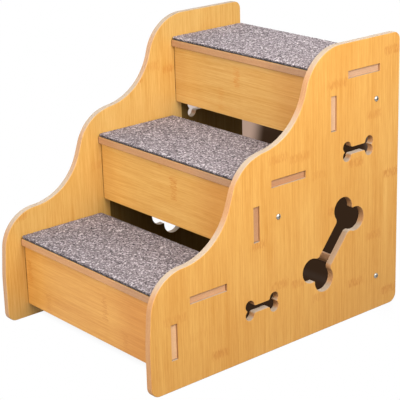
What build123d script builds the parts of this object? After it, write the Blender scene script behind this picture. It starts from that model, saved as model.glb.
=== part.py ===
from build123d import *
import math
import os

# Pet stairs: three carpeted treads and three risers held between two board sides by tabs
# in slots, with three dowel rails screwed across.
# Lengths are in millimetres. X runs across the stairs, +Y towards their back, +Z up.
# The origin is on the floor, in the middle of the width and of the depth.

# Boards and steps
overall_width = 401.5
board = 12.0
rise = 143.0
going = 169.3
tread_setback = 35.0
tread_depth = 168.0
top_tread_depth = 165.4
tread_overhang = 5.8
toe_gap = 29.3
floor_gap = 24.0
edge_round = 1.0

# Tabs and the slots that take them
tread_tab_setback = 45.1
tread_tab_length = 71.7
riser_tab_length = 56.1
riser_tab_drop = 51.9
tab_recess = 3.0
slot_side_gap = 0.3
slot_end_gap = 1.2

# Side panel outline: a rounded lobe stands over each tread, with a valley before the next
guard_heights = (48.5, 43.6, 46.2)
valley_heights = (52.0, 56.5)
lobe_leads = (26.1, 20.0, 32.1)
lobe_radii = (66.2, 77.9, 78.6)
valley_leads = (65.7, 69.3)
valley_radii = (101.7, 108.9)
brow_height = 84.0
brow_radius = 259.4
foot_radius = 16.0
top_back_radius = 14.0
panel_edge_round = 1.4

# Bone cut-outs: four round lobes joined by a straight shaft
big_lobe_along = 56.8
big_lobe_across = 17.9
big_lobe_radius = 20.7
big_shaft_width = 34.4
big_neck_radius = 8.0
big_notch_radius = 2.0
big_bone_tilt = 50.5
big_bone_from_back = 153.5
big_bone_height = 144.5
small_lobe_along = 25.9
small_lobe_across = 7.7
small_lobe_radius = 8.9
small_shaft_width = 11.5
small_neck_radius = 4.0
small_notch_radius = 1.0
upper_bone_from_back = 97.2
upper_bone_height = 296.0
lower_bone_from_front = 225.3
lower_bone_height = 83.7
bone_edge_bevel = 0.5

# Carpets and the hook-and-loop strips that hold them to the treads
carpet_thickness = 5.4
carpet_front_inset = 1.0
carpet_back_inset = 1.0
carpet_side_gap = 1.2
carpet_corner_radius = 4.0
strip_thickness = 1.4
strip_width = 20.0
strip_end_inset = 14.0
strip_edge_inset = 9.0

# Dowel rails and their screws
rail_diameter = 16.0
upper_rail_inset = 55.2
upper_rail_drop = 57.6
middle_rail_setback = 39.9
middle_rail_drop = 61.8
lower_rail_inset = 51.4
lower_rail_height = 60.5
rail_end_bevel = 0.6
screw_head_diameter = 9.4
screw_head_height = 2.6
screw_head_rim = 0.9
screw_shank_diameter = 4.0
screw_length = 40.0
screw_point_length = 5.0
screw_point_diameter = 0.8
screw_recess_width = 1.3
screw_recess_span = 5.0
screw_recess_depth = 1.6
screw_hole_gap = 0.3
pilot_gap = 0.15
pilot_end_gap = 2.0
cut_overrun = 5.0

# Lengths closer than this share of the size at hand count as equal
match_share = 1e-5

step_names = ("lower", "middle", "upper")
inner_half = overall_width / 2 - board
outer_half = overall_width / 2
tread_depths = (tread_depth, tread_depth, top_tread_depth)
panel_depth = tread_setback + (len(step_names) - 1) * going + top_tread_depth
panel_front = -panel_depth / 2
panel_back = panel_depth / 2
tread_fronts = [panel_front + tread_setback + step * going for step in range(len(step_names))]
tread_tops = [(step + 1) * rise for step in range(len(step_names))]
panel_height = tread_tops[-1] + guard_heights[-1]
riser_feet = [floor_gap] + [top + toe_gap for top in tread_tops[:-1]]


def span_box(x_span, y_span, z_span):
    """A box from the lowest to the highest value along each axis."""
    centre = [(low + high) / 2 for low, high in (x_span, y_span, z_span)]
    return Pos(*centre) * Box(*[high - low for low, high in (x_span, y_span, z_span)])


def rounded_outline(corners, radii):
    """A closed face through the corners, each rounded by its radius.

    Where two arcs would meet on one side, both shrink until they fit it.
    """
    count = len(corners)
    sides = [corners[(i + 1) % count] - corners[i] for i in range(count)]
    reaches = []
    for i in range(count):
        turn = sides[i - 1].get_angle(sides[i])
        reaches.append(radii[i] * math.tan(math.radians(turn / 2)))
    shares = [1.0] * count
    for i in range(count):
        after = (i + 1) % count
        fit_share = min(1.0, sides[i].length / (reaches[i] + reaches[after]))
        shares[i] = min(shares[i], fit_share)
        shares[after] = min(shares[after], fit_share)
    starts = [corners[i] - sides[i - 1].normalized() * reaches[i] * shares[i] for i in range(count)]
    ends = [corners[i] + sides[i].normalized() * reaches[i] * shares[i] for i in range(count)]
    edges = []
    for i in range(count):
        edges.append(TangentArc(starts[i], ends[i], tangent=sides[i - 1].normalized()))
        next_start = starts[(i + 1) % count]
        if (next_start - ends[i]).length > sides[i].length * match_share:
            edges.append(Line(ends[i], next_start))
        else:
            starts[(i + 1) % count] = ends[i]
    return make_face(edges)


def panel_outline():
    """The side panel's outline in the plane of Y and Z."""
    corners = [Vector(panel_front, 0), Vector(panel_front, brow_height)]
    radii = [foot_radius, brow_radius]
    for step, front in enumerate(tread_fronts):
        corners.append(Vector(front - lobe_leads[step], tread_tops[step] + guard_heights[step]))
        radii.append(lobe_radii[step])
        if step < len(valley_leads):
            valley_y = tread_fronts[step + 1] - valley_leads[step]
            corners.append(Vector(valley_y, tread_tops[step] + valley_heights[step]))
            radii.append(valley_radii[step])
    corners += [Vector(panel_back, panel_height), Vector(panel_back, 0)]
    radii += [top_back_radius, foot_radius]
    return rounded_outline(corners[::-1], radii[::-1])


def bone(lobe_along, lobe_across, lobe_radius, shaft_width, neck_radius, notch_radius):
    """A bone's outline, lying along the first axis of its sketch."""
    shape = Rectangle(2 * lobe_along, shaft_width)
    for along in (-lobe_along, lobe_along):
        for across in (-lobe_across, lobe_across):
            shape += Pos(along, across) * Circle(lobe_radius)
    inward = shape.vertices().filter_by(lambda v: abs(v.X) < lobe_along)
    necks = inward.filter_by(lambda v: abs(abs(v.Y) - shaft_width / 2) < shaft_width * match_share)
    shape = fillet(necks, neck_radius)
    notches = shape.vertices().filter_by(lambda v: abs(v.Y) < lobe_across * match_share)
    return fillet(notches, notch_radius)


def bone_cutouts():
    """The three bone outlines of one side panel, in the plane of Y and Z."""
    big = bone(big_lobe_along, big_lobe_across, big_lobe_radius,
               big_shaft_width, big_neck_radius, big_notch_radius)
    small = bone(small_lobe_along, small_lobe_across, small_lobe_radius,
                 small_shaft_width, small_neck_radius, small_notch_radius)
    return [
        Pos(panel_back - big_bone_from_back, big_bone_height) * Rot(0, 0, big_bone_tilt) * big,
        Pos(panel_back - upper_bone_from_back, upper_bone_height) * small,
        Pos(panel_front + lower_bone_from_front, lower_bone_height) * small,
    ]


def tread_tab(step):
    """The Y and Z spans of a tread's end tab."""
    tab_front = tread_fronts[step] + tread_tab_setback
    return (tab_front, tab_front + tread_tab_length), (tread_tops[step] - board, tread_tops[step])


def riser_tab(step):
    """The Y and Z spans of a riser's end tab."""
    front = tread_fronts[step] + tread_overhang
    middle = tread_tops[step] - board - riser_tab_drop
    half = riser_tab_length / 2
    return (front, front + board), (middle - half, middle + half)


def slot_cutters():
    """The slots of the right panel, a little larger than the tabs that they take."""
    through = (inner_half - cut_overrun, outer_half + cut_overrun)
    cutters = []
    for step in range(len(step_names)):
        (y_low, y_high), (z_low, z_high) = tread_tab(step)
        cutters.append(span_box(through, (y_low - slot_end_gap, y_high + slot_end_gap),
                                (z_low - slot_side_gap, z_high + slot_side_gap)))
        (y_low, y_high), (z_low, z_high) = riser_tab(step)
        cutters.append(span_box(through, (y_low - slot_side_gap, y_high + slot_side_gap),
                                (z_low - slot_end_gap, z_high + slot_end_gap)))
    return cutters


def rail_places():
    """Each rail's name and the Y and Z of its axis."""
    behind_riser = tread_fronts[1] + tread_overhang + board
    return {
        "lower_back_rail": (panel_back - lower_rail_inset, lower_rail_height),
        "middle_rail": (behind_riser + middle_rail_setback, tread_tops[1] - middle_rail_drop),
        "upper_back_rail": (panel_back - upper_rail_inset, tread_tops[-1] - upper_rail_drop),
    }


def right_panel():
    """The right side panel with its cut-outs, slots and screw holes."""
    plane = Plane.YZ.offset(inner_half)
    blank = extrude(plane * panel_outline(), amount=board, dir=(1, 0, 0))
    rims = blank.faces().sort_by(Axis.X)[0].edges() + blank.faces().sort_by(Axis.X)[-1].edges()
    panel = fillet(rims, panel_edge_round)
    for outline in bone_cutouts():
        start = plane.offset(-cut_overrun)
        panel -= extrude(start * outline, amount=board + 2 * cut_overrun, dir=(1, 0, 0))
    mouths = []
    for face in (panel.faces().sort_by(Axis.X)[0], panel.faces().sort_by(Axis.X)[-1]):
        for wire in face.inner_wires():
            mouths += wire.edges()
    panel = chamfer(mouths, bone_edge_bevel)
    for cutter in slot_cutters():
        panel -= cutter
    hole_radius = screw_shank_diameter / 2 + screw_hole_gap
    for y, z in rail_places().values():
        hole = Cylinder(hole_radius, board + 2 * cut_overrun)
        panel -= Pos((inner_half + outer_half) / 2, y, z) * Rot(0, 90, 0) * hole
    return panel


def with_end_tabs(plank, y_span, z_span):
    """A board between the panels, with a tab on each end that stops short of the outer face."""
    tab_end = outer_half - tab_recess
    for x_span in ((inner_half, tab_end), (-tab_end, -inner_half)):
        plank += span_box(x_span, y_span, z_span)
    return plank


def tread(step):
    """A tread with its long edges rounded and a tab on each end."""
    front = tread_fronts[step]
    top = tread_tops[step]
    plank = span_box((-inner_half, inner_half), (front, front + tread_depths[step]), (top - board, top))
    plank = fillet(plank.edges().filter_by(Axis.X), edge_round)
    return with_end_tabs(plank, *tread_tab(step))


def riser(step):
    """A riser that stands under its tread's front, with a gap below it."""
    front = tread_fronts[step] + tread_overhang
    top = tread_tops[step] - board
    plank = span_box((-inner_half, inner_half), (front, front + board), (riser_feet[step], top))
    lower_edges = plank.faces().sort_by(Axis.Z)[0].edges().filter_by(Axis.X)
    plank = fillet(lower_edges, edge_round)
    return with_end_tabs(plank, *riser_tab(step))


def carpet_span(step):
    """The front and back of a step's carpet."""
    front = tread_fronts[step]
    return front + carpet_front_inset, front + tread_depths[step] - carpet_back_inset


def carpet(step):
    """A carpet with rounded corners, lying on its two strips."""
    half = inner_half - carpet_side_gap
    base = tread_tops[step] + strip_thickness
    mat = span_box((-half, half), carpet_span(step), (base, base + carpet_thickness))
    return fillet(mat.edges().filter_by(Axis.Z), carpet_corner_radius)


def strip(step, at_front):
    """One strip between a tread and its carpet, near the carpet's front or back edge."""
    front, back = carpet_span(step)
    if at_front:
        y_span = (front + strip_edge_inset, front + strip_edge_inset + strip_width)
    else:
        y_span = (back - strip_edge_inset - strip_width, back - strip_edge_inset)
    half = inner_half - carpet_side_gap - strip_end_inset
    top = tread_tops[step]
    return span_box((-half, half), y_span, (top, top + strip_thickness))


def rail(y, z):
    """A dowel between the panels, with a pilot hole in each end for its screw."""
    dowel = Cylinder(rail_diameter / 2, 2 * inner_half)
    dowel = chamfer(dowel.edges().filter_by(GeomType.CIRCLE), rail_end_bevel)
    depth = screw_length - board + pilot_end_gap
    for end in (-1, 1):
        pilot = Cylinder(screw_shank_diameter / 2 + pilot_gap, depth)
        dowel -= Pos(0, 0, end * (inner_half - depth / 2)) * pilot
    return Pos(0, y, z) * Rot(0, 90, 0) * dowel


def screw():
    """A domed screw with a cross recess, its head's seat at the origin and its point towards -X."""
    head = screw_head_diameter / 2
    shank = screw_shank_diameter / 2
    point = screw_point_diameter / 2
    dome_top = (screw_head_height, 0)
    rim_top = (screw_head_rim, head)
    half = FilletPolyline((0, head), rim_top, (screw_head_height, head / 2), dome_top,
                          radius=screw_head_height - screw_head_rim)
    side = Polyline(dome_top, (-screw_length, 0), (-screw_length, point),
                    (-screw_length + screw_point_length, shank), (0, shank), (0, head))
    body = revolve(make_face([half, side]), Axis.X)
    recess_x = (screw_head_height - screw_recess_depth, screw_head_height + cut_overrun)
    wing = (-screw_recess_span / 2, screw_recess_span / 2)
    slit = (-screw_recess_width / 2, screw_recess_width / 2)
    return body - span_box(recess_x, wing, slit) - span_box(recess_x, slit, wing)


def build():
    """Every node's name and solid."""
    panel = right_panel()
    nodes = {"right_side_panel": panel, "left_side_panel": mirror(panel, Plane.YZ)}
    for step, name in enumerate(step_names):
        nodes[name + "_tread"] = tread(step)
        nodes[name + "_riser"] = riser(step)
        nodes[name + "_carpet"] = carpet(step)
        nodes[name + "_front_strip"] = strip(step, True)
        nodes[name + "_back_strip"] = strip(step, False)
    fastener = screw()
    for name, (y, z) in rail_places().items():
        nodes[name] = rail(y, z)
        right = Pos(outer_half, y, z) * fastener
        nodes["right_" + name + "_screw"] = right
        nodes["left_" + name + "_screw"] = mirror(right, Plane.YZ)
    return nodes


os.makedirs("parts", exist_ok=True)
for node, solid in build().items():
    export_step(solid, f"parts/{node}.step")
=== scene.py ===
"""Pet stairs: the finish of their boards, carpets, tapes, rails and screws, and the stage they stand on."""

import math

import bpy
import numpy as np
from bpy.props import FloatProperty, FloatVectorProperty, IntProperty, PointerProperty
from mathutils import Matrix, Vector


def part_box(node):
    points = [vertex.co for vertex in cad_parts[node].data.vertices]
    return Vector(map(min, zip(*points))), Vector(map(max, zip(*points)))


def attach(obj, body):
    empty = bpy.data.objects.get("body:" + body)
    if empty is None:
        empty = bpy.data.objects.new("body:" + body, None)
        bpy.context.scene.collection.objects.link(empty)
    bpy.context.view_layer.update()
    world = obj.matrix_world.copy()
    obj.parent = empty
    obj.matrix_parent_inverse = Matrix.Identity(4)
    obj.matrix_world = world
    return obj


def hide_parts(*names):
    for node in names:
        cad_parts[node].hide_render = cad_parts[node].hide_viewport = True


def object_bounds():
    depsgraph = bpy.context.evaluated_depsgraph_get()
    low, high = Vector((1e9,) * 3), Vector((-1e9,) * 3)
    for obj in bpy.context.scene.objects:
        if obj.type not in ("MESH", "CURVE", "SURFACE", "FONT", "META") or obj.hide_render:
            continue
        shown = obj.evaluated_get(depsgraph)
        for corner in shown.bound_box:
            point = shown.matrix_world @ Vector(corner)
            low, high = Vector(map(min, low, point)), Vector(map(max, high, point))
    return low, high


bl_info = {
    "name": "Pet Stairs",
    "version": (1, 0, 0),
    "blender": (4, 5, 0),
    "location": "3D View > Sidebar > Pet Stairs",
    "description": "Dresses three-step pet stairs with bamboo boards and tufted carpets",
    "category": "Object",
}

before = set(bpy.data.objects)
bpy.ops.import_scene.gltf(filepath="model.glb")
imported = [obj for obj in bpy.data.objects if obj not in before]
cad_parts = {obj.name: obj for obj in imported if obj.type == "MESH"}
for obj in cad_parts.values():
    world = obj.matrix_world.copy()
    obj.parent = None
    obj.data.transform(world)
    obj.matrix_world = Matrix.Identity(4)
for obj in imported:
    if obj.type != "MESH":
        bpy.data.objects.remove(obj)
cad_low, cad_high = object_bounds()

STEPS = ("lower", "middle", "upper")
SIDES = ("left", "right")
RAILS = ("lower_back_rail", "middle_rail", "upper_back_rail")
AXES = "XYZ"
MM = 0.001
WHITE = (1.0, 1.0, 1.0, 1.0)
NO_TINT = (1.0, 1.0, 1.0)

# The wood's tint, from the left panel to the right one and from the lowest riser up
SIDE_TINTS = ((1.0, 1.05, 1.135), (1.0, 0.995, 0.96))
RISER_TINTS = ((1.0, 0.975, 0.95), (0.98, 1.0, 1.04), (0.95, 0.99, 1.10))

# How bright the sawn edges and the carpets are, from the lowest step up
TREAD_EDGE_TONES = (1.03, 0.97, 0.94)
RISER_EDGE_TONES = (1.09, 0.96, 1.13)
CARPET_TONES = (0.87, 0.96, 1.12)

# The tint of the tabs' ends in the slots, from the lowest step up. It is painted light, which mostly
# brightens these ends where they sit back in the slots' shade
TREAD_TAB_TINTS = ((1.04, 1.06, 1.12), (1.0, 0.98, 1.01), (1.10, 1.16, 1.30))
RISER_TAB_TINTS = ((1.07, 1.18, 1.31), (1.03, 1.01, 1.02), (1.0, 1.04, 1.07))

# Where each kind of board starts in the bamboo's pattern, and one step in it, across and along
PANEL_START, TREAD_START, RISER_START = 3.1, 6.3, 9.7
PATTERN_STEP = (0.537, 0.271)

# Each lamp's name, its azimuth and elevation in degrees, its distance and its width
LAMPS = (
    ("key", 40, 37, 2.1, 1.1),
    ("side", 85, 35, 1.3, 0.8),
    ("front", 0, 14, 2.3, 1.0),
    ("top", 160, 76, 1.45, 1.2),
    ("back", 205, 20, 2.3, 1.4),
    ("left", 268, 18, 2.2, 1.4),
)


# Settings that a user can change

def colour_property(name, description, default):
    """A colour that a user can change, written as it looks on screen."""
    return FloatVectorProperty(
        name=name, description=description, default=default, subtype="COLOR_GAMMA", min=0, max=1
    )


def length_property(name, description, default):
    """A length in metres."""
    return FloatProperty(
        name=name, description=description, default=default, subtype="DISTANCE", unit="LENGTH", precision=5
    )


def share_property(name, description, default, highest=1.0):
    """A plain number from nought up."""
    return FloatProperty(name=name, description=description, default=default, min=0, max=highest)


def angle_property(name, description, degrees):
    """An angle, given in degrees."""
    return FloatProperty(name=name, description=description, default=math.radians(degrees), subtype="ANGLE")


def power_property(name, place, watts):
    """The power of one lamp in watts."""
    return FloatProperty(name=name, description=f"Power of the lamp {place}, in watts", default=watts, min=0)


class BoardFinish(bpy.types.PropertyGroup):
    """The laminated bamboo boards."""

    light: colour_property("Light fibres", "Colour of the palest fibres", (0.872, 0.664, 0.355))
    deep: colour_property("Deep fibres", "Colour of the deepest fibres", (0.779, 0.531, 0.203))
    mark: colour_property("Node marks", "Colour of the marks of the cane's nodes", (0.765, 0.500, 0.190))
    raw_light: colour_property("Raw edge, light", "Palest colour of the sawn edges", (0.785, 0.597, 0.415))
    raw_deep: colour_property("Raw edge, deep", "Deepest colour of the sawn edges", (0.682, 0.468, 0.293))
    # A painted sheen: the sawn edges that face up are paler
    raw_top_sheen: colour_property("Raw edge, top", "Colour of the sawn edges that face up", (0.660, 0.607, 0.532))
    strip_width: length_property("Strip width", "Mean width of the bamboo strips", 21 * MM)
    fibre_width: length_property("Fibre width", "Width of the streaks in a strip", 2.3 * MM)
    node_width: length_property("Node width", "Mean width of a cluster of node marks", 43 * MM)
    node_spacing: length_property("Node spacing", "Distance between clusters along the grain", 0.21)
    node_height: length_property("Node height", "Half of a node mark's length along the grain", 8 * MM)
    lacquer_roughness: share_property("Lacquer roughness", "Roughness of the lacquered faces", 0.46)
    raw_roughness: share_property("Raw roughness", "Roughness of the sawn edges", 0.72)
    grain_relief: length_property("Grain relief", "Height of the grain under the lacquer", 0.06 * MM)
    joint_width: length_property("Joint width", "Width of the dark line beside a panel", 2.4 * MM)
    joint_tone: share_property("Joint tone", "How bright a board is in the dark line beside a panel", 0.3)
    # Painted shade: a board's ends near the panels, and the right panel's shade on it, are darkened in its
    # colour
    end_shade_width: length_property("End width", "Length of a board's ends that are a little darker", 60 * MM)
    end_shade_tone: share_property("End tone", "How bright a board is where it meets a panel", 0.88)
    shade_start: length_property("Shade start", "Where the right panel's shade on a board begins", 150 * MM)
    shade_full: length_property("Shade full", "Where the right panel's shade on a board is full", 75 * MM)
    riser_shade: colour_property("Riser shade", "Tint of a riser in that shade", (0.940, 0.885, 0.800))
    tread_shade: colour_property("Tread shade", "Tint of a tread in that shade", (0.905, 0.930, 1.000))
    # Painted shade on the boards' inner sides that face the open bay
    inside_shade_tone: share_property("Inside tone", "How much light the boards' inner sides keep", 0.25)
    inside_shade_fade: length_property("Inside fade", "Where the shade is full behind the lowest riser", 60 * MM)


class CarpetSizes(bpy.types.PropertyGroup):
    """The tufted carpets and their backing."""

    tuft_pitch: length_property("Tuft pitch", "Distance between tufts", 2.0 * MM)
    tuft_height: length_property("Tuft height", "How far a tuft stands over the valleys round it", 1.0 * MM)
    tuft_radius: share_property("Tuft radius", "Radius of a tuft's dome, in pitches", 0.68)
    tuft_jitter: share_property("Tuft jitter", "How far a tuft strays from its row, in pitches", 0.34)
    tuft_spread: share_property("Tuft spread", "How much tufts differ in height, in tuft heights", 0.22)
    tuft_rough: share_property("Tuft roughness", "How rough a tuft is, in tuft heights", 0.10)
    point_jitter: share_property("Point jitter", "How far a mesh point strays, in mesh steps", 0.12)
    grid_step: length_property("Mesh step", "Spacing of the pile's mesh", 1.1 * MM)
    edge_round: length_property("Edge round", "Width of the pile's rounded border", 2.2 * MM)
    edge_drop: length_property("Edge drop", "How far the pile drops at its border", 0.9 * MM)
    fray: length_property("Fray", "How far the cut side wanders", 0.35 * MM)
    corner_radius: length_property("Corner radius", "Radius of the carpet's corners", 4 * MM)
    backing_thickness: length_property("Backing thickness", "Thickness of the felt backing", 1.2 * MM)
    backing_inset: length_property("Backing inset", "How far the backing stays inside the pile", 0.3 * MM)
    backing_step: length_property("Backing step", "Spacing of the backing's mesh", 3 * MM)
    overlap: length_property("Overlap", "How deep the pile sits in its backing", 0.1 * MM)
    sag: length_property("Sag", "How far the carpet settles away from its tapes", 0.9 * MM)
    settle_width: length_property("Settle width", "Distance over which the carpet settles", 9 * MM)
    seed: IntProperty(name="Seed", description="Start of the tufts' random numbers", default=41)
    dark: colour_property("Dark yarn", "Colour of the darkest yarn", (0.170, 0.150, 0.165))
    middle: colour_property("Middle yarn", "Colour of the commonest yarn", (0.525, 0.483, 0.493))
    pale: colour_property("Pale yarn", "Colour of the pale yarn", (0.710, 0.667, 0.677))
    bright: colour_property("Bright yarn", "Colour of the palest yarn", (0.890, 0.850, 0.855))
    side: colour_property("Cut side", "Colour of the carpet's cut side", (0.160, 0.150, 0.170))
    felt: colour_property("Backing", "Colour of the felt backing", (0.130, 0.122, 0.132))


class TapeSizes(bpy.types.PropertyGroup):
    """The hook-and-loop tapes under the carpets."""

    hook_pitch: length_property("Hook pitch", "Distance between the rows of hooks", 2.0 * MM)
    hook_relief: length_property("Hook relief", "How deep the rows of hooks are", 0.25 * MM)
    selvedge: length_property("Selvedge", "Width of the plain woven edge", 2.0 * MM)
    corner_radius: length_property("Corner radius", "Radius of the tape's corners", 1.5 * MM)
    yarn: colour_property("Tape", "Colour of the tape's yarn", (0.105, 0.105, 0.115))


class HardwareFinish(bpy.types.PropertyGroup):
    """The dowel rails and the screws."""

    dowel_light: colour_property("Dowel, light", "Palest grain of the dowels", (0.925, 0.700, 0.495))
    dowel_deep: colour_property("Dowel, deep", "Deepest grain of the dowels", (0.795, 0.540, 0.345))
    steel: colour_property("Steel", "Colour of the zinc-plated screws", (0.620, 0.610, 0.585))
    steel_roughness: share_property("Steel roughness", "Roughness of the screw heads", 0.30)


class StageSettings(bpy.types.PropertyGroup):
    """The floor, the lamps, the world and the camera."""

    camera_place: FloatVectorProperty(
        name="Camera", description="Where the camera stands", subtype="XYZ",
        default=(1.65075, -1.37347, 0.94224),
    )
    camera_azimuth: angle_property("Azimuth", "Turn of the camera about the stairs", 49.376)
    camera_elevation: angle_property("Elevation", "Tilt of the camera towards the floor", 18.013)
    camera_roll: angle_property("Roll", "Turn of the camera about its own axis", -1.464)
    lens: FloatProperty(name="Lens", description="Focal length in millimetres", default=122.15)
    shift: FloatVectorProperty(
        name="Shift", description="How far the picture lies off the lens axis, in picture widths", size=2,
        default=(-0.04425, -0.063),
    )
    floor_half: length_property("Floor", "Half of the floor's width", 60.0)
    floor_colour: colour_property("Floor colour", "Colour that the floor throws back", (0.460, 0.452, 0.445))
    # The floor's shade settings below shape a painted shadow, worked out from the floor's place, not cast by
    # a lamp
    shade_colour: colour_property("Shade", "Colour of the floor in the stairs' shadow", (0.205, 0.145, 0.100))
    pale_shade: colour_property("Pale shade", "Colour of the floor beside the shadow", (0.700, 0.590, 0.525))
    shade_azimuth: angle_property("Shade azimuth", "Direction that the floor's shadow is thrown from", 45)
    shade_reach: length_property("Shade reach", "How far the deep shadow runs behind the stairs", 1.15)
    shade_fade: length_property("Shade fade", "Where both shadows have faded out behind the stairs", 1.84)
    shade_soft: length_property("Shade softness", "Width of the deep shadow's edges", 0.022)
    shade_widening: share_property("Shade widening", "How far the right border strays with distance", 0.04)
    shade_blurring: share_property("Shade blurring", "How far the right border softens with distance", 0.05)
    halo_start: length_property("Halo start", "How far the pale shadow reaches past the deep one", 0.36)
    halo_full: length_property("Halo full", "Where the pale shadow is full, from the deep one", 0.08)
    key_power: power_property("Key", "in front and to the right", 21.5)
    side_power: power_property("Side", "on the right", 17.8)
    front_power: power_property("Front", "straight in front", 35.5)
    top_power: power_property("Top", "overhead", 6.0)
    back_power: power_property("Back", "behind", 20.0)
    left_power: power_property("Left", "on the left", 40.0)
    world_strength: share_property("World", "Strength of the light from all round", 0.07, 4.0)


# Materials

def paint(colour):
    """A screen colour as the linear colour with alpha that a shader takes."""
    linear = [c / 12.92 if c <= 0.04045 else ((c + 0.055) / 1.055) ** 2.4 for c in colour]
    return (*linear, 1.0)


def toned(colour, tone):
    """A screen colour made lighter or darker."""
    return tuple(min(1.0, c * tone) for c in colour)


def tinted(colour, tint):
    """A screen colour with each of its parts scaled."""
    return tuple(min(1.0, c * t) for c, t in zip(colour, tint))


class Finish:
    """A new material or world, with short calls for its nodes."""

    def __init__(self, owner, output="OutputMaterial"):
        owner.use_nodes = True
        self.owner = owner
        self.tree = owner.node_tree
        self.tree.nodes.clear()
        self.output = self.node(output)

    def put(self, socket, value):
        """Links a socket to another, or sets its value."""
        if isinstance(value, bpy.types.NodeSocket):
            self.tree.links.new(value, socket)
        else:
            socket.default_value = value

    def node(self, kind, inputs=None, **settings):
        """A new node with its settings and inputs."""
        made = self.tree.nodes.new("ShaderNode" + kind)
        for name, value in settings.items():
            setattr(made, name, value)
        for key, value in (inputs or {}).items():
            self.put(made.inputs[key], value)
        return made

    def math(self, operation, *values):
        """The result of one sum."""
        made = self.node("Math", operation=operation)
        for socket, value in zip(made.inputs, values):
            self.put(socket, value)
        return made.outputs[0]

    def rise(self, value, start, end, low=0.0, high=1.0):
        """A smooth rise from low to high as the value goes from start to end."""
        made = self.node("MapRange", interpolation_type="SMOOTHSTEP")
        for socket, given in zip(made.inputs, (value, start, end, low, high)):
            self.put(socket, given)
        return made.outputs[0]

    def spread(self, value, amount):
        """A value from a texture, taken from its middle and scaled."""
        return self.math("MULTIPLY", self.math("SUBTRACT", value, 0.5), amount)

    def total(self, *values):
        """All the values added up."""
        result = values[0]
        for value in values[1:]:
            result = self.math("ADD", result, value)
        return result

    def product(self, *values):
        """All the values multiplied."""
        result = values[0]
        for value in values[1:]:
            result = self.math("MULTIPLY", result, value)
        return result

    def mix(self, share, first, second, kind="MIX"):
        """Two colours mixed."""
        made = self.node("Mix", data_type="RGBA", blend_type=kind, clamp_factor=True)
        factor, colours = made.inputs[0], [s for s in made.inputs if s.type == "RGBA"]
        self.put(factor, share)
        self.put(colours[0], first)
        self.put(colours[1], second)
        return next(s for s in made.outputs if s.type == "RGBA")

    def noise(self, vector, scale, detail=2.0, roughness=0.5):
        """Smooth noise around a half."""
        inputs = {"Vector": vector, "Scale": scale, "Detail": detail, "Roughness": roughness}
        return self.node("TexNoise", inputs).outputs[0]

    def vector(self, x, y, z):
        """Three values as one vector."""
        return self.node("CombineXYZ", {"X": x, "Y": y, "Z": z}).outputs[0]

    def ramp(self, value, stops):
        """The colour at a value along a row of (place, screen colour) stops."""
        made = self.node("ValToRGB", {0: value})
        elements = made.color_ramp.elements
        while len(elements) < len(stops):
            elements.new(1.0)
        for element, (place, colour) in zip(elements, stops):
            element.position = place
            element.color = paint(colour)
        return made.outputs[0]

    def surface(self, colour, roughness, relief=None, depth=0.0, gloss=0.5, **constants):
        """Ends the material in a surface, with its relief if one is given."""
        inputs = {"Base Color": colour, "Roughness": roughness, "Specular IOR Level": gloss}
        if relief is not None:
            bump = self.node("Bump", {"Height": relief, "Distance": depth, "Strength": 1.0})
            inputs["Normal"] = bump.outputs[0]
        shader = self.node("BsdfPrincipled", inputs)
        for name, value in constants.items():
            shader.inputs[name.replace("_", " ")].default_value = value
        self.put(self.output.inputs[0], shader.outputs[0])
        return self.owner


def new_finish(name):
    """An empty material to add nodes to."""
    return Finish(bpy.data.materials.new(name))


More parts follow.
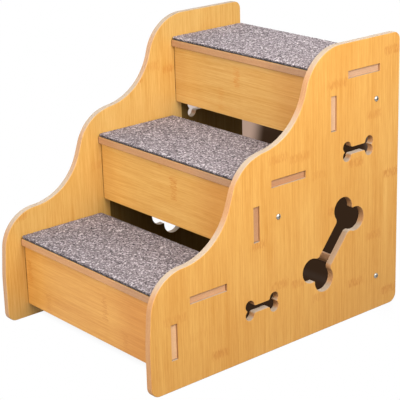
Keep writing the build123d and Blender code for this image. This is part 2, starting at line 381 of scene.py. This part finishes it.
class BambooGrain:
    """The bamboo of one board, from where its points lie across and along the grain and in depth."""

    def __init__(self, m, look, across, along, depth):
        self.m = m
        self.look = look
        self.across, self.along, self.depth = across, along, depth
        self.fine = 1.0 / look.fibre_width
        wave = m.math("SINE", m.math("MULTIPLY", across, math.tau / (3.3 * look.strip_width)))
        self.uneven = m.math("ADD", across, m.math("MULTIPLY", wave, 0.2 * look.strip_width))
        self.strips = m.math("DIVIDE", self.uneven, look.strip_width)
        self.streaks = self.fibres(0.022, self.fine, 3.0, 0.62)
        self.hairs = self.fibres(0.05, 3.1 * self.fine)
        self.bands = self.fibres(0.12, 0.11 * self.fine)

    def fibres(self, stretch, scale, detail=2.0, roughness=0.5):
        """Noise that is drawn out along the grain, more so the smaller stretch is."""
        drawn_out = self.m.math("MULTIPLY", self.along, stretch)
        return self.m.noise(self.m.vector(self.across, drawn_out, self.depth), scale, detail, roughness)

    def chances(self, cells):
        """Two random numbers for each whole cell."""
        m = self.m
        noise = m.node("TexWhiteNoise", {"W": m.math("FLOOR", cells)}, noise_dimensions="1D")
        return m.node("SeparateColor", {0: noise.outputs["Color"]}).outputs[:2]

    def tone(self):
        """How pale the wood is, from nought to one."""
        m = self.m
        clouds = self.fibres(1.0, 7.0)
        strip_chance = self.chances(self.strips)[0]
        return m.total(
            0.52, m.spread(self.streaks, 1.55), m.spread(self.hairs, 0.75), m.spread(self.bands, 0.65),
            m.spread(clouds, 0.35), m.spread(strip_chance, 0.15),
        )

    def sawn_tone(self):
        """How pale a sawn edge is, from nought to one."""
        m = self.m
        specks = self.fibres(0.35, 1.8 * self.fine, 3.0, 0.65)
        layers = m.vector(0.0, m.math("MULTIPLY", self.along, 0.05), self.depth)
        plies = m.noise(layers, 0.8 * self.fine, 1.0)
        return m.total(0.5, m.spread(specks, 1.2), m.spread(plies, 0.7), m.spread(self.bands, 0.4))

    def node_marks(self):
        """The short dashes in clusters that the cane's nodes leave."""
        m, look = self.m, self.look
        cells = m.math("DIVIDE", m.math("ADD", self.uneven, 0.4 * look.node_width), look.node_width)
        start_chance, mark_chance = self.chances(cells)
        spot = m.math("ADD", self.along, m.math("MULTIPLY", start_chance, look.node_spacing))
        far = m.math("PINGPONG", spot, look.node_spacing / 2)
        wander = self.fibres(0.0, 1.1 * self.fine, 1.0)
        ragged = m.math("ADD", far, m.spread(wander, 2.6 * look.node_height))
        off_middle = m.math("ABSOLUTE", m.spread(m.math("FRACT", cells), 2.0))
        dashes = self.fibres(0.10, 1.9 * self.fine, 1.0)
        return m.product(
            m.rise(ragged, look.node_height, 0.7 * look.node_height), m.rise(off_middle, 1.0, 0.7),
            m.rise(mark_chance, 0.10, 0.90, 0.15, 1.0), m.rise(dashes, 0.47, 0.55, 0.08, 1.0),
        )

    def seams(self):
        """The faint lines between strips."""
        m = self.m
        off_middle = m.math("ABSOLUTE", m.spread(m.math("FRACT", self.strips), 2.0))
        return m.product(m.rise(off_middle, 0.95, 0.995), m.rise(self.bands, 0.45, 0.62, 0.05, 0.4))


def board_material(name, look, face, grain, shift, inside, tint=NO_TINT, edge_tone=1.0, tab_tint=NO_TINT):
    """Laminated bamboo. face and grain are axes, and shift moves the pattern from board to board.

    inside makes the share that faces the open bay, from the material, look, the place and the normal; that
    share gets painted shade.
    """
    m = new_finish(name)
    place = m.node("TexCoord").outputs
    parts = m.node("SeparateXYZ", {0: place["Object"]}).outputs
    normal = m.node("SeparateXYZ", {0: place["Normal"]}).outputs
    sideways = next(axis for axis in AXES if axis not in (face, grain))
    across = m.math("ADD", parts[sideways], shift * PATTERN_STEP[0])
    along = m.math("ADD", parts[grain], shift * PATTERN_STEP[1])
    bamboo = BambooGrain(m, look, across, along, parts[face])

    tone = bamboo.tone()
    wood = m.mix(tone, paint(tinted(look.deep, tint)), paint(tinted(look.light, tint)))
    if face == "X":
        # A panel's tint is only for its right side. On the left panel that is the inner face, where the bluer
        # tint is painted light that offsets the orange light bounced inside the bay
        untinted = m.mix(tone, paint(look.deep), paint(look.light))
        wood = m.mix(m.rise(normal["X"], -0.2, 0.2), untinted, wood)
    wood = m.mix(bamboo.node_marks(), wood, paint(look.mark))
    wood = m.mix(bamboo.seams(), wood, paint(look.mark))

    raw_deep, raw_light = (paint(tinted(toned(c, edge_tone), tint)) for c in (look.raw_deep, look.raw_light))
    raw = m.mix(bamboo.sawn_tone(), raw_deep, raw_light)
    # Painted sheen: the sawn edges that face up turn paler, as the overhead light would make them
    raw = m.mix(m.rise(normal["Z"], 0.35, 0.85, 0.0, 0.8), raw, paint(look.raw_top_sheen))

    lacquered = m.rise(m.math("ABSOLUTE", normal[face]), 0.62, 0.86)
    colour = m.mix(lacquered, raw, wood)
    # Painted shade: bright darkens the inner sides that face the open bay, in colour and in gloss
    bright = m.rise(inside(m, look, parts, normal), 0.0, 1.0, 1.0, look.inside_shade_tone)
    if grain == "X":
        shade = look.riser_shade if face == "Y" else look.tread_shade
        tones, end_tint = panel_shade(m, look, parts["X"], shade, tab_tint)
        # bright takes the joint line and the ends' painted shade, and end_tint the right panel's painted
        # shade
        bright = m.product(bright, *tones)
        colour = m.mix(1.0, colour, end_tint, "MULTIPLY")
    colour = m.mix(1.0, colour, m.vector(bright, bright, bright), "MULTIPLY")
    roughness = m.rise(lacquered, 0.0, 1.0, look.raw_roughness, look.lacquer_roughness)
    return m.surface(
        colour, m.total(roughness, m.spread(bamboo.streaks, 0.12)),
        m.total(bamboo.streaks, m.math("MULTIPLY", bamboo.hairs, 0.5)), look.grain_relief,
        m.product(bright, bright, 0.5),
    )


def panel_shade(m, look, x, shade, tab_tint):
    """How bright a tread or riser is near the panels, in two steps, and its tint: a dark joint line, painted
    shade towards the ends, and the right panel's painted shade as a tint.

    The tabs' ends lie past the panels' inner faces and take only their own tint.
    """
    wall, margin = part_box("right_side_panel")[0].x, 0.5 * MM
    out = m.math("ABSOLUTE", x)
    between = m.math("LESS_THAN", out, wall + margin)
    tones = [
        m.rise(m.product(m.rise(out, wall - width, wall), between), 0.0, 1.0, 1.0, tone)
        for width, tone in ((look.joint_width, look.joint_tone), (look.end_shade_width, look.end_shade_tone))
    ]
    shaded = m.rise(x, wall - look.shade_start, wall - look.shade_full)
    return tones, m.mix(between, paint(tab_tint), m.mix(shaded, WHITE, paint(shade)))


def panel_painted_shade(m, look, place, normal):
    """The share of a panel's inner face that lies behind the risers and under the treads, which gets painted
    shade.
    """
    share = 0.0
    for step in STEPS:
        behind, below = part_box(f"{step}_riser")[1].y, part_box(f"{step}_tread")[0].z
        fade = look.inside_shade_fade if step == "lower" else MM
        shaded = m.rise(place["Y"], behind, behind + fade)
        column = m.product(shaded, m.math("LESS_THAN", place["Z"], below))
        share = m.math("MAXIMUM", share, column)
    facing_in = m.math("LESS_THAN", m.math("ABSOLUTE", place["X"]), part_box("lower_riser")[1].x)
    return m.product(share, facing_in, m.rise(m.math("ABSOLUTE", normal["X"]), 0.5, 0.9))


def tread_painted_shade(m, look, place, normal):
    """The share of a tread that faces down, which gets painted shade."""
    return m.rise(normal["Z"], -0.3, -0.8)


def riser_painted_shade(m, look, place, normal):
    """The share of a riser that faces back, which gets painted shade."""
    return m.rise(normal["Y"], 0.3, 0.8)


def pile_material(name, look, tone_share):
    """Mottled yarn: each tuft keeps the tone that its mesh gives it, with painted shade down between the
    tufts.
    """
    m = new_finish(name)
    place = m.node("TexCoord").outputs["Object"]
    tone = m.node("Attribute", attribute_name="tuft_tone").outputs["Fac"]
    height = m.node("Attribute", attribute_name="pile_height").outputs["Fac"]
    side = m.node("Attribute", attribute_name="cut_side").outputs["Fac"]
    fibres = m.noise(place, 1500.0, 2.0, 0.7)
    twist = m.noise(place, 520.0, 2.0)
    mottled = m.total(tone, m.spread(twist, 0.40), m.spread(fibres, 0.30))
    yarn = m.ramp(mottled, [
        (0.02, look.dark), (0.34, look.middle), (0.56, look.middle), (0.78, look.pale), (1.0, look.bright),
    ])
    # Painted shade: the yarn is darker where the pile is low, between the tufts
    shade = m.rise(height, 0.0, 0.9, 0.62 * tone_share, tone_share)
    shaded = m.mix(1.0, yarn, m.vector(shade, shade, shade), "MULTIPLY")
    ends = m.noise(place, 340.0, 2.0, 0.6)
    cut = m.mix(m.rise(ends, 0.42, 0.62, 0.05, 0.85), paint(look.side), shaded)
    colour = m.mix(side, shaded, cut)
    return m.surface(colour, 0.95, fibres, 0.35 * MM, gloss=0.2)


def felt_material(look):
    """The dark felt under the pile."""
    m = new_finish("felt_backing")
    place = m.node("TexCoord").outputs["Object"]
    fluff = m.noise(place, 900.0, 4.0, 0.7)
    patches = m.noise(place, 60.0, 2.0)
    tone = m.total(0.5, m.spread(fluff, 1.3), m.spread(patches, 0.6))
    colour = m.mix(tone, paint(toned(look.felt, 0.7)), paint(toned(look.felt, 1.5)))
    return m.surface(colour, 0.95, fluff, 0.3 * MM, Sheen_Weight=0.15)


def tape_material(look):
    """Woven tape with fine ribs."""
    m = new_finish("woven_tape")
    place = m.node("TexCoord").outputs["Object"]
    inputs = {"Vector": place, "Distortion": 0.4}
    ribs = m.node("TexWave", {**inputs, "Scale": 260.0}, bands_direction="X").outputs[1]
    threads = m.node("TexWave", {**inputs, "Scale": 300.0}, bands_direction="Y").outputs[1]
    weave = m.product(ribs, threads)
    tone = m.total(weave, m.spread(m.noise(place, 400.0), 0.5))
    colour = m.mix(tone, paint(toned(look.yarn, 0.6)), paint(toned(look.yarn, 1.9)))
    return m.surface(colour, 0.8, weave, 0.15 * MM, Sheen_Weight=0.2)


def dowel_material(look):
    """Turned pale wood, with its grain along the rail."""
    m = new_finish("dowel_wood")
    parts = m.node("SeparateXYZ", {0: m.node("TexCoord").outputs["Object"]}).outputs
    stretched = m.vector(m.math("MULTIPLY", parts["X"], 0.03), parts["Y"], parts["Z"])
    streaks = m.noise(stretched, 420.0, 3.0, 0.6)
    bands = m.noise(stretched, 90.0, 2.0)
    pores = m.noise(m.vector(m.math("MULTIPLY", parts["X"], 0.2), parts["Y"], parts["Z"]), 1400.0, 1.0)
    tone = m.total(0.5, m.spread(streaks, 1.3), m.spread(bands, 0.9), m.spread(pores, 0.5))
    colour = m.mix(tone, paint(look.dowel_deep), paint(look.dowel_light))
    return m.surface(colour, 0.62, streaks, 0.08 * MM)


def steel_material(look):
    """Zinc plating, a little uneven, with dull spots."""
    m = new_finish("zinc_plated_steel")
    place = m.node("TexCoord").outputs["Object"]
    patches = m.noise(place, 420.0, 3.0)
    scratches = m.noise(place, 2600.0, 2.0)
    colour = m.mix(patches, paint(toned(look.steel, 0.82)), paint(toned(look.steel, 1.12)))
    roughness = m.total(look.steel_roughness, m.spread(patches, 0.25), m.spread(scratches, 0.2))
    return m.surface(colour, roughness, scratches, 0.02 * MM, Metallic=1.0)


def shadow_shares(m, place, look):
    """How deep each point of the floor lies in a painted shadow of the stairs, and in the pale painted one
    beside it.

    Both are painted from the floor's place, not cast by a lamp. They run away from a light in front and to
    the right, and grow softer with distance.
    """
    x, y = place["X"], place["Y"]
    away = (-math.sin(look.shade_azimuth), math.cos(look.shade_azimuth))
    along = m.math("ADD", m.math("MULTIPLY", x, away[0]), m.math("MULTIPLY", y, away[1]))
    across = m.math("ADD", m.math("MULTIPLY", x, away[1]), m.math("MULTIPLY", y, -away[0]))
    left_wall, right_wall = (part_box(f"{side}_side_panel") for side in SIDES)
    left, right = (side * away[1] - cad_high.y * away[0] for side in (left_wall[0].x, right_wall[1].x))
    soft, back = look.shade_soft, cad_high.y
    distance = m.math("MAXIMUM", along, 0.0)
    border = m.math("ADD", m.math("MULTIPLY", distance, look.shade_widening), right)
    blur = m.math("ADD", m.math("MULTIPLY", distance, look.shade_blurring), soft)
    right_side = m.rise(across, border, m.math("SUBTRACT", border, blur))
    past = m.product(
        m.rise(across, left - 0.9 * soft, left + 0.9 * soft), right_side,
        m.rise(along, look.shade_fade, 0.93 * look.shade_reach), m.rise(y, 0.0, back),
        m.rise(x, right_wall[1].x, right_wall[1].x - soft),
    )
    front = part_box("lower_riser")[1].y
    edge = 0.8 * (right_wall[1].x - right_wall[0].x)
    under = m.product(
        m.rise(x, left_wall[0].x, left_wall[0].x + edge),
        m.rise(x, right_wall[1].x, right_wall[1].x - edge),
        m.rise(y, front, front + 4 * soft), m.rise(y, back + 0.3 * soft, back - 2 * soft),
    )
    beside = m.product(
        m.rise(across, left - look.halo_start, left - look.halo_full), right_side,
        m.rise(along, look.shade_fade, 1.12 * look.shade_reach), m.rise(y, back - 4 * soft, back + 20 * soft),
    )
    lit = m.product(m.math("SUBTRACT", 1.0, past), m.math("SUBTRACT", 1.0, under))
    return m.math("SUBTRACT", 1.0, lit), beside


def floor_material(look):
    """Pale floor that the camera sees as white, apart from a shadow of the stairs painted into its glow."""
    m = new_finish("studio_floor")
    place = m.node("TexCoord").outputs["Object"]
    deep, pale = shadow_shares(m, m.node("SeparateXYZ", {0: place}).outputs, look)
    seen = m.mix(pale, WHITE, paint(look.pale_shade))
    seen = m.mix(deep, seen, paint(look.shade_colour))
    lit = m.node("Emission", {"Color": seen, "Strength": 1.0}).outputs[0]
    grain = m.noise(place, 40.0, 3.0)
    matt = m.mix(grain, paint(toned(look.floor_colour, 0.97)), paint(look.floor_colour))
    plain = m.node("BsdfDiffuse", {"Color": matt}).outputs[0]
    shader = m.node("MixShader", {0: background_ray(m), 1: plain, 2: lit}).outputs[0]
    m.put(m.output.inputs[0], shader)
    return m.owner


def background_ray(m):
    """One for a ray that shows the background: to the camera, off gloss or through glass."""
    path = m.node("LightPath").outputs
    shown = m.math("MAXIMUM", path["Is Camera Ray"], path["Is Glossy Ray"])
    return m.math("MAXIMUM", shown, path["Is Transmission Ray"])


# Meshes

def dress(node, material):
    """Gives a CAD node its finish."""
    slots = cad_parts[node].data.materials
    slots.clear()
    slots.append(material)


def new_piece(name, points, faces, material):
    """A smooth mesh piece that rides on the stairs."""
    mesh = bpy.data.meshes.new(name)
    mesh.from_pydata(points, [], faces)
    mesh.materials.append(material)
    mesh.polygons.foreach_set("use_smooth", [True] * len(mesh.polygons))
    mesh.update()
    piece = bpy.data.objects.new(name, mesh)
    bpy.context.scene.collection.objects.link(piece)
    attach(piece, "root")
    return piece


def smooth(share):
    """A smooth step from nought to one."""
    share = np.clip(share, 0.0, 1.0)
    return share * share * (3 - 2 * share)


def grid(low, high, step):
    """Points of a flat grid over a box, with as many whole steps as fit."""
    columns, rows = (round((high[i] - low[i]) / step) + 1 for i in (0, 1))
    return np.meshgrid(np.linspace(low.x, high.x, columns), np.linspace(low.y, high.y, rows))


def round_corners(x, y, low, high, radius):
    """Draws the grid's corners in to a radius."""
    middle_x, middle_y = (low.x + high.x) / 2, (low.y + high.y) / 2
    over_x = np.abs(x - middle_x) - ((high.x - low.x) / 2 - radius)
    over_y = np.abs(y - middle_y) - ((high.y - low.y) / 2 - radius)
    corner = (over_x > 0) & (over_y > 0)
    reach = np.hypot(over_x, over_y)
    square = np.maximum(over_x, over_y)
    pull = np.where(corner & (reach > 0), square / np.where(reach > 0, reach, 1), 1.0)
    new_x = np.where(corner, x + np.sign(x - middle_x) * over_x * (pull - 1), x)
    new_y = np.where(corner, y + np.sign(y - middle_y) * over_y * (pull - 1), y)
    return new_x, new_y


def border_distance(x, y, low, high):
    """How far each point lies inside the box's border."""
    return np.minimum.reduce([x - low.x, high.x - x, y - low.y, high.y - y])


def grid_faces(rows, columns, start=0, flip=False):
    """The quads of a grid of points stored row by row."""
    corner = start + np.arange(rows - 1)[:, None] * columns + np.arange(columns - 1)[None, :]
    quads = np.stack([corner, corner + 1, corner + columns + 1, corner + columns], axis=-1).reshape(-1, 4)
    return (quads[:, ::-1] if flip else quads).tolist()


def border_loop(rows, columns):
    """The indices of a grid's border, counter-clockwise."""
    index = np.arange(rows * columns).reshape(rows, columns)
    return np.concatenate([index[0, :-1], index[:-1, -1], index[-1, :0:-1], index[:0:-1, 0]])


def ring_faces(upper, lower):
    """The quads between two closed rings of points."""
    count = len(upper)
    return [[int(lower[i]), int(lower[(i + 1) % count]), int(upper[(i + 1) % count]), int(upper[i])]
            for i in range(count)]


def strips_under(step):
    """The names of the strips that hold one carpet."""
    return [f"{step}_{end}_strip" for end in ("front", "back")]


def settle(x, y, step, sizes):
    """How far a carpet drops away from the strips that hold it."""
    held = np.zeros_like(x)
    for strip in strips_under(step):
        low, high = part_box(strip)
        beyond = -border_distance(x, y, low, high)
        held = np.maximum(held, 1 - smooth(beyond / sizes.settle_width))
    return sizes.sag * (1 - held)


def nearest_tufts(x, y, low, high, sizes, chance):
    """For each point, the share of a pitch to its nearest tuft, and that tuft's number."""
    pitch, row_pitch = sizes.tuft_pitch, sizes.tuft_pitch * math.sqrt(3) / 2
    columns = int((high.x - low.x) / pitch) + 4
    rows = int((high.y - low.y) / row_pitch) + 4
    jitter = chance.uniform(-sizes.tuft_jitter, sizes.tuft_jitter, (rows, columns, 2)) * pitch
    row, column = np.mgrid[0:rows, 0:columns]
    tuft_x = low.x + (column - 1.5 + 0.5 * (row % 2)) * pitch + jitter[..., 0]
    tuft_y = low.y + (row - 1.5) * row_pitch + jitter[..., 1]
    at_row = np.rint((y - low.y) / row_pitch + 1.5).astype(int)
    best = np.full(x.shape, np.inf)
    number = np.zeros(x.shape, int)
    for row_step in (-1, 0, 1):
        r = np.clip(at_row + row_step, 0, rows - 1)
        at_column = np.rint((x - low.x) / pitch + 1.5 - 0.5 * (r % 2)).astype(int)
        for column_step in (-1, 0, 1):
            c = np.clip(at_column + column_step, 0, columns - 1)
            gap = np.hypot(x - tuft_x[r, c], y - tuft_y[r, c]) / pitch
            nearer = gap < best
            best = np.where(nearer, gap, best)
            number = np.where(nearer, r * columns + c, number)
    return best, number, rows * columns


def set_values(piece, name, values):
    """Stores one number for each point of a piece's mesh."""
    attribute = piece.data.attributes.new(name, "FLOAT", "POINT")
    attribute.data.foreach_set("value", np.asarray(values, np.float32))


def pile(step, sizes, material, seed):
    """The tufted top of one carpet, closed by its cut sides and a plain underside."""
    low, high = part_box(f"{step}_carpet")
    chance = np.random.default_rng(seed)
    x, y = grid(low, high, sizes.grid_step)
    rows, columns = x.shape
    inside = border_distance(x, y, low, high)
    x, y = round_corners(x, y, low, high, sizes.corner_radius)
    gap, number, count = nearest_tufts(x, y, low, high, sizes, chance)
    tones = chance.random(count)
    lifts = chance.normal(0.0, sizes.tuft_spread, count)
    dome = np.sqrt(np.clip(1 - (gap / sizes.tuft_radius) ** 2, 0, 1))
    rough = chance.normal(0.0, sizes.tuft_rough, x.shape)
    height = sizes.tuft_height * (dome + lifts[number] + rough - 1)
    height -= sizes.edge_drop * (1 - smooth(inside / sizes.edge_round))
    wander_x, wander_y = chance.normal(0, sizes.point_jitter, (2, *x.shape)) * sizes.grid_step
    inner = (inside > sizes.grid_step).astype(float)
    z = high.z + height - settle(x, y, step, sizes)
    points = [np.stack([x + wander_x * inner, y + wander_y * inner, z], -1).reshape(-1, 3)]
    tone, raised, side = [tones[number].ravel()], [(dome + lifts[number]).ravel()], [np.zeros(x.size)]

    loop = border_loop(rows, columns)
    rim = points[0][loop]
    backing_top = low.z + sizes.backing_thickness
    bottom = backing_top - sizes.overlap - settle(rim[:, 0], rim[:, 1], step, sizes)
    outward = rim[:, :2] - [(low.x + high.x) / 2, (low.y + high.y) / 2]
    outward /= np.linalg.norm(outward, axis=1)[:, None]
    faces = grid_faces(rows, columns)
    upper, side_rows, side_height = loop, 4, 0.6
    for level in range(1, side_rows + 1):
        share = level / side_rows
        ring = rim.copy()
        ring[:, :2] += outward * (chance.normal(0, 1, len(loop)) * sizes.fray)[:, None]
        ring[:, 2] = rim[:, 2] * (1 - share) + bottom * share
        lower = rows * columns + (level - 1) * len(loop) + np.arange(len(loop))
        faces += ring_faces(upper, lower)
        points.append(ring)
        tone.append(chance.random(len(loop)))
        raised.append(np.full(len(loop), side_height))
        side.append(np.ones(len(loop)))
        upper = lower
    points = np.concatenate(points)
    centre = len(points)
    points = np.vstack([points, [*points[:, :2].mean(0), bottom.mean()]])
    faces += [[int(upper[i]), centre, int(upper[(i + 1) % len(upper)])] for i in range(len(upper))]
    piece = new_piece(f"{step}_carpet_pile", points.tolist(), faces, material)
    set_values(piece, "tuft_tone", [*np.concatenate(tone), 0.5])
    set_values(piece, "pile_height", [*np.clip(np.concatenate(raised), 0, 1), 0.0])
    set_values(piece, "cut_side", [*np.concatenate(side), 1.0])
    return piece


def slab(name, low, high, step, radius, material, drop=None, relief=None):
    """A thin closed slab over a box. drop and relief make its fall and its hollows from x and y."""
    x, y = grid(low, high, step)
    rows, columns = x.shape
    bumps = relief(x, y) if relief else np.zeros_like(x)
    x, y = round_corners(x, y, low, high, radius)
    fall = drop(x, y) if drop else np.zeros_like(x)
    top = np.stack([x, y, high.z - fall - bumps], -1).reshape(-1, 3)
    under = np.stack([x, y, low.z - fall + bumps], -1).reshape(-1, 3)
    loop = border_loop(rows, columns)
    faces = grid_faces(rows, columns) + grid_faces(rows, columns, rows * columns, flip=True)
    faces += ring_faces(loop, loop + rows * columns)
    return new_piece(name, np.concatenate([top, under]).tolist(), faces, material)


def backing(step, sizes, material):
    """The felt layer that carries the pile."""
    low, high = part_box(f"{step}_carpet")
    inset = Vector((sizes.backing_inset, sizes.backing_inset, 0))
    top = Vector((high.x, high.y, low.z + sizes.backing_thickness))
    return slab(
        f"{step}_carpet_backing", low + inset, top - inset, sizes.backing_step, sizes.corner_radius,
        material, drop=lambda x, y: settle(x, y, step, sizes),
    )


def tape(node, sizes, material):
    """A hook tape and a loop tape pressed together, with plain woven edges."""
    low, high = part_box(node)

    def hooks(x, y):
        inside = border_distance(x, y, low, high)
        column = np.rint((x - low.x) / sizes.hook_pitch * 2)
        row = np.rint((y - low.y) / sizes.hook_pitch * 2)
        hollow = (column + row) % 2 * sizes.hook_relief
        return np.where(inside > sizes.selvedge, hollow, 0.5 * sizes.hook_relief)

    return slab(
        node.replace("strip", "tape"), low, high, sizes.hook_pitch / 2, sizes.corner_radius,
        material, relief=hooks,
    )


# Operators

class STAIRS_OT_stage(bpy.types.Operator):
    """Adds the floor, the lamps, the world and the camera"""

    bl_idname = "stairs.stage"
    bl_label = "Stage"

    def execute(self, context):
        look = context.scene.stairs_stage
        mesh = bpy.data.meshes.new("floor")
        corners = [(x * look.floor_half, y * look.floor_half, cad_low.z)
                   for x, y in ((-1, -1), (1, -1), (1, 1), (-1, 1))]
        mesh.from_pydata(corners, [], [(0, 1, 2, 3)])
        mesh.materials.append(floor_material(look))
        floor = bpy.data.objects.new("floor", mesh)
        context.scene.collection.objects.link(floor)

        middle = (cad_low + cad_high) / 2
        for name, azimuth, elevation, distance, size in LAMPS:
            power = getattr(look, f"{name}_power")
            self.lamp(context, f"{name}_softbox", power, size, middle, azimuth, elevation, distance)
        self.world(context, look)
        self.camera(context, look)
        context.scene.view_settings.view_transform = "Standard"
        return {"FINISHED"}

    def lamp(self, context, name, power, size, target, azimuth, elevation, distance):
        """A square softbox that faces the stairs."""
        light = bpy.data.lights.new(name, "AREA")
        light.shape = "SQUARE"
        light.size = size
        light.energy = power
        lamp = bpy.data.objects.new(name, light)
        a, e = math.radians(azimuth), math.radians(elevation)
        towards = Vector((math.sin(a) * math.cos(e), -math.cos(a) * math.cos(e), math.sin(e)))
        lamp.location = target + towards * distance
        lamp.rotation_euler = towards.to_track_quat("Z", "Y").to_euler()
        context.scene.collection.objects.link(lamp)

    def world(self, context, look):
        """Soft light from all round, with a white background."""
        world = bpy.data.worlds.new("studio")
        context.scene.world = world
        w = Finish(world, "OutputWorld")
        soft, white = (
            w.node("Background", {"Color": WHITE, "Strength": strength}).outputs[0]
            for strength in (look.world_strength, 1.0)
        )
        w.put(w.output.inputs[0], w.node("MixShader", {0: background_ray(w), 1: soft, 2: white}).outputs[0])

    def camera(self, context, look):
        """The camera at the photograph's place."""
        a, e, r = look.camera_azimuth, look.camera_elevation, look.camera_roll
        right = Vector((math.cos(a), math.sin(a), 0))
        back = Vector((math.sin(a) * math.cos(e), -math.cos(a) * math.cos(e), math.sin(e)))
        up = back.cross(right)
        level = Matrix((right, up, back)).transposed()
        data = bpy.data.cameras.new("camera")
        data.sensor_width = 36.0
        data.lens = look.lens
        data.shift_x, data.shift_y = look.shift
        data.clip_end = 4 * look.floor_half
        camera = bpy.data.objects.new("camera", data)
        camera.location = look.camera_place
        camera.rotation_euler = (level @ Matrix.Rotation(r, 3, "Z")).to_euler()
        context.scene.collection.objects.link(camera)
        context.scene.camera = camera


class STAIRS_OT_side_panels(bpy.types.Operator):
    """Gives the side panels their upright bamboo grain"""

    bl_idname = "stairs.side_panels"
    bl_label = "Side panels"

    def execute(self, context):
        look = context.scene.stairs_boards
        for number, side in enumerate(SIDES):
            dress(f"{side}_side_panel", board_material(
                f"{side}_panel_bamboo", look, "X", "Z", PANEL_START + number, panel_painted_shade,
                SIDE_TINTS[number],
            ))
        return {"FINISHED"}


class STAIRS_OT_treads(bpy.types.Operator):
    """Gives the treads bamboo grain along their length"""

    bl_idname = "stairs.treads"
    bl_label = "Treads"

    def execute(self, context):
        look = context.scene.stairs_boards
        for number, (step, tone) in enumerate(zip(STEPS, TREAD_EDGE_TONES)):
            dress(f"{step}_tread", board_material(
                f"{step}_tread_bamboo", look, "Z", "X", TREAD_START + number, tread_painted_shade,
                edge_tone=tone, tab_tint=TREAD_TAB_TINTS[number],
            ))
        return {"FINISHED"}


class STAIRS_OT_risers(bpy.types.Operator):
    """Gives the risers bamboo grain along their length"""

    bl_idname = "stairs.risers"
    bl_label = "Risers"

    def execute(self, context):
        look = context.scene.stairs_boards
        for number, (step, tone) in enumerate(zip(STEPS, RISER_EDGE_TONES)):
            dress(f"{step}_riser", board_material(
                f"{step}_riser_bamboo", look, "Y", "X", RISER_START + number, riser_painted_shade,
                RISER_TINTS[number], tone, RISER_TAB_TINTS[number],
            ))
        return {"FINISHED"}


class STAIRS_OT_carpets(bpy.types.Operator):
    """Builds the tufted carpets and their felt backing"""

    bl_idname = "stairs.carpets"
    bl_label = "Carpets"

    def execute(self, context):
        sizes = context.scene.stairs_carpets
        felt = felt_material(sizes)
        for number, (step, tone) in enumerate(zip(STEPS, CARPET_TONES)):
            yarn = pile_material(f"{step}_tufted_yarn", sizes, tone)
            top = pile(step, sizes, yarn, sizes.seed + number)
            under = backing(step, sizes, felt)
            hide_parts(f"{step}_carpet")
        return {"FINISHED"}


class STAIRS_OT_tapes(bpy.types.Operator):
    """Builds the hook-and-loop tapes under the carpets"""

    bl_idname = "stairs.tapes"
    bl_label = "Tapes"

    def execute(self, context):
        sizes = context.scene.stairs_tapes
        material = tape_material(sizes)
        for step in STEPS:
            for node in strips_under(step):
                piece = tape(node, sizes, material)
                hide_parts(node)
        return {"FINISHED"}


class STAIRS_OT_rails(bpy.types.Operator):
    """Gives the rails their turned wood"""

    bl_idname = "stairs.rails"
    bl_label = "Rails"

    def execute(self, context):
        material = dowel_material(context.scene.stairs_hardware)
        for rail in RAILS:
            dress(rail, material)
        return {"FINISHED"}


class STAIRS_OT_screws(bpy.types.Operator):
    """Gives the screws their zinc plating"""

    bl_idname = "stairs.screws"
    bl_label = "Screws"

    def execute(self, context):
        material = steel_material(context.scene.stairs_hardware)
        for rail in RAILS:
            for side in SIDES:
                dress(f"{side}_{rail}_screw", material)
        return {"FINISHED"}


# The sidebar's panel, and the start

OPERATORS = (
    STAIRS_OT_stage, STAIRS_OT_side_panels, STAIRS_OT_treads, STAIRS_OT_risers, STAIRS_OT_carpets,
    STAIRS_OT_tapes, STAIRS_OT_rails, STAIRS_OT_screws,
)
GROUPS = {
    "stairs_stage": StageSettings, "stairs_boards": BoardFinish, "stairs_carpets": CarpetSizes,
    "stairs_tapes": TapeSizes, "stairs_hardware": HardwareFinish,
}


class STAIRS_PT_pieces(bpy.types.Panel):
    """Lists the pieces and what can be changed"""

    bl_label = "Pet Stairs"
    bl_idname = "STAIRS_PT_pieces"
    bl_space_type = "VIEW_3D"
    bl_region_type = "UI"
    bl_category = "Pet Stairs"

    def draw(self, context):
        for operator in OPERATORS:
            self.layout.operator(operator.bl_idname)
        for name, group in GROUPS.items():
            box = self.layout.box()
            box.label(text=group.__doc__)
            for key in group.__annotations__:
                box.prop(getattr(context.scene, name), key)


def register():
    """Adds the classes, and their settings to the scene."""
    for group in GROUPS.values():
        bpy.utils.register_class(group)
    for name, group in GROUPS.items():
        setattr(bpy.types.Scene, name, PointerProperty(type=group))
    for shown in (*OPERATORS, STAIRS_PT_pieces):
        bpy.utils.register_class(shown)


def unregister():
    """Takes the classes and the settings away again."""
    for shown in (STAIRS_PT_pieces, *reversed(OPERATORS)):
        bpy.utils.unregister_class(shown)
    for name, group in reversed(GROUPS.items()):
        delattr(bpy.types.Scene, name)
        bpy.utils.unregister_class(group)


def main():
    """Registers the classes and makes every piece."""
    register()
    bpy.ops.stairs.stage()
    bpy.ops.stairs.side_panels()
    bpy.ops.stairs.treads()
    bpy.ops.stairs.risers()
    bpy.ops.stairs.carpets()
    bpy.ops.stairs.tapes()
    bpy.ops.stairs.rails()
    bpy.ops.stairs.screws()


if __name__ == "__main__":
    main()
